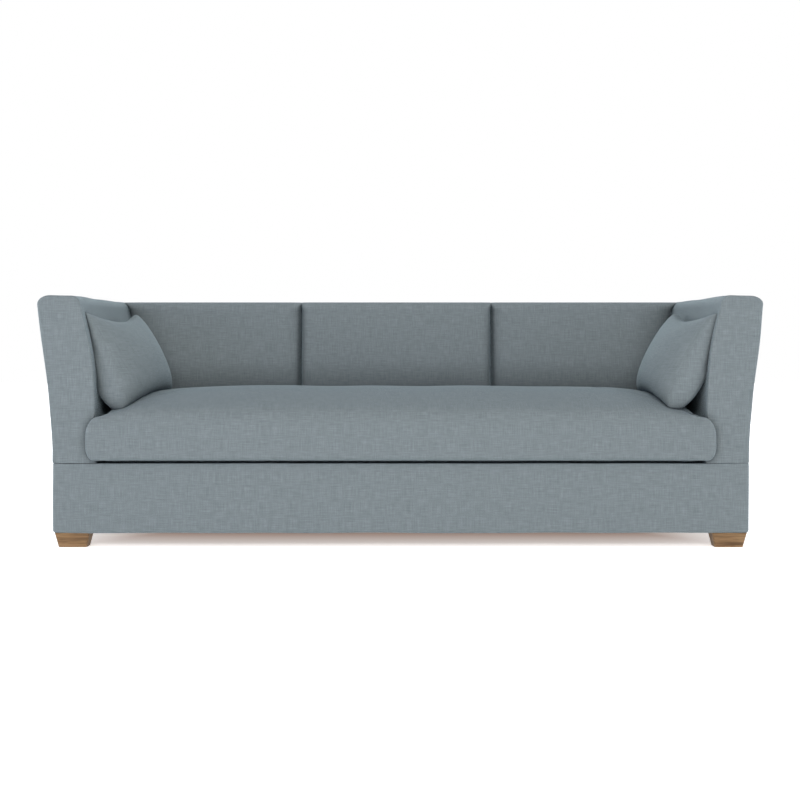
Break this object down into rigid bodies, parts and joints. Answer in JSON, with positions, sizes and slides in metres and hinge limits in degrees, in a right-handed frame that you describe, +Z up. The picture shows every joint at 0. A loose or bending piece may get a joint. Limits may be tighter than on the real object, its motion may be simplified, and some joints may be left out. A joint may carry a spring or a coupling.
{
  "type": "flared shelter-arm sofa",
  "caption": "Upholstered sofa with flared padded arms as high as the back, a loose bench seat cushion and two throw pillows.",
  "frame": {"origin": "on the floor under the middle of the sofa", "axes": "+Z up, -Y towards the front of the sofa, +X to the right seen from the front"},
  "size_m": [2.287, 0.9398, 0.795],
  "materials": {
    "cover_fabric": "heathered plain weave",
    "foot_wood": "oiled oak",
    "frame_wood": "bare kiln-dried hardwood",
    "spring_steel": "drawn spring wire",
    "webbing": "woven elastic webbing and felted pad",
    "dust_cloth": "thin black nonwoven cloth",
    "foam": "foam wrapped in wadding, matt",
    "zip": "moulded coil zip"
  },
  "bodies": {
    "frame_body": {"base_front_cover": "cover_fabric", "base_back_cover": "cover_fabric", "base_left_cover": "cover_fabric", "base_right_cover": "cover_fabric", "left_arm_cover": "cover_fabric", "right_arm_cover": "cover_fabric", "outside_back_cover": "cover_fabric", "left_back_section": "cover_fabric", "centre_back_section": "cover_fabric", "right_back_section": "cover_fabric", "seat_deck": "webbing", "dust_cover": "dust_cloth", "front_rail": "frame_wood", "rear_seat_rail": "frame_wood", "back_rail": "frame_wood", "centre_cross_rail": "frame_wood", "left_end_rail": "frame_wood", "right_end_rail": "frame_wood", "left_front_corner_block": "frame_wood", "right_front_corner_block": "frame_wood", "left_rear_corner_block": "frame_wood", "right_rear_corner_block": "frame_wood", "left_end_post": "frame_wood", "right_end_post": "frame_wood", "left_back_upright": "frame_wood", "right_back_upright": "frame_wood", "back_top_rail": "frame_wood", "left_arm_front_post": "frame_wood", "right_arm_front_post": "frame_wood", "left_arm_top_rail": "frame_wood", "right_arm_top_rail": "frame_wood", "left_arm_lower_rail": "frame_wood", "right_arm_lower_rail": "frame_wood", "back_webbing": "webbing", "seat_spring_01": "spring_steel", "seat_spring_02": "spring_steel", "seat_spring_03": "spring_steel", "seat_spring_04": "spring_steel", "seat_spring_05": "spring_steel", "seat_spring_06": "spring_steel", "seat_spring_07": "spring_steel", "seat_spring_08": "spring_steel", "seat_spring_09": "spring_steel", "seat_spring_10": "spring_steel", "seat_spring_11": "spring_steel", "left_front_foot": "foot_wood", "right_front_foot": "foot_wood", "left_rear_foot": "foot_wood", "right_rear_foot": "foot_wood", "centre_support_foot": "foot_wood"},
    "seat_cushion": {"seat_cushion_cover": "cover_fabric", "seat_cushion_core": "foam", "seat_cushion_zip": "zip"},
    "left_pillow": {"left_pillow_cover": "cover_fabric", "left_pillow_insert": "foam"},
    "right_pillow": {"right_pillow_cover": "cover_fabric", "right_pillow_insert": "foam"}
  },
  "joints": [
    {"name": "seat_cushion_lift", "type": "slide", "parent": "frame_body", "child": "seat_cushion", "axis": [0, 0, 1], "range_m": [0, 0.55]},
    {"name": "left_pillow_lift", "type": "slide", "parent": "seat_cushion", "child": "left_pillow", "axis": [0, 0, 1], "range_m": [0, 0.4]},
    {"name": "right_pillow_lift", "type": "slide", "parent": "seat_cushion", "child": "right_pillow", "axis": [0, 0, 1], "range_m": [0, 0.4]}
  ]
}
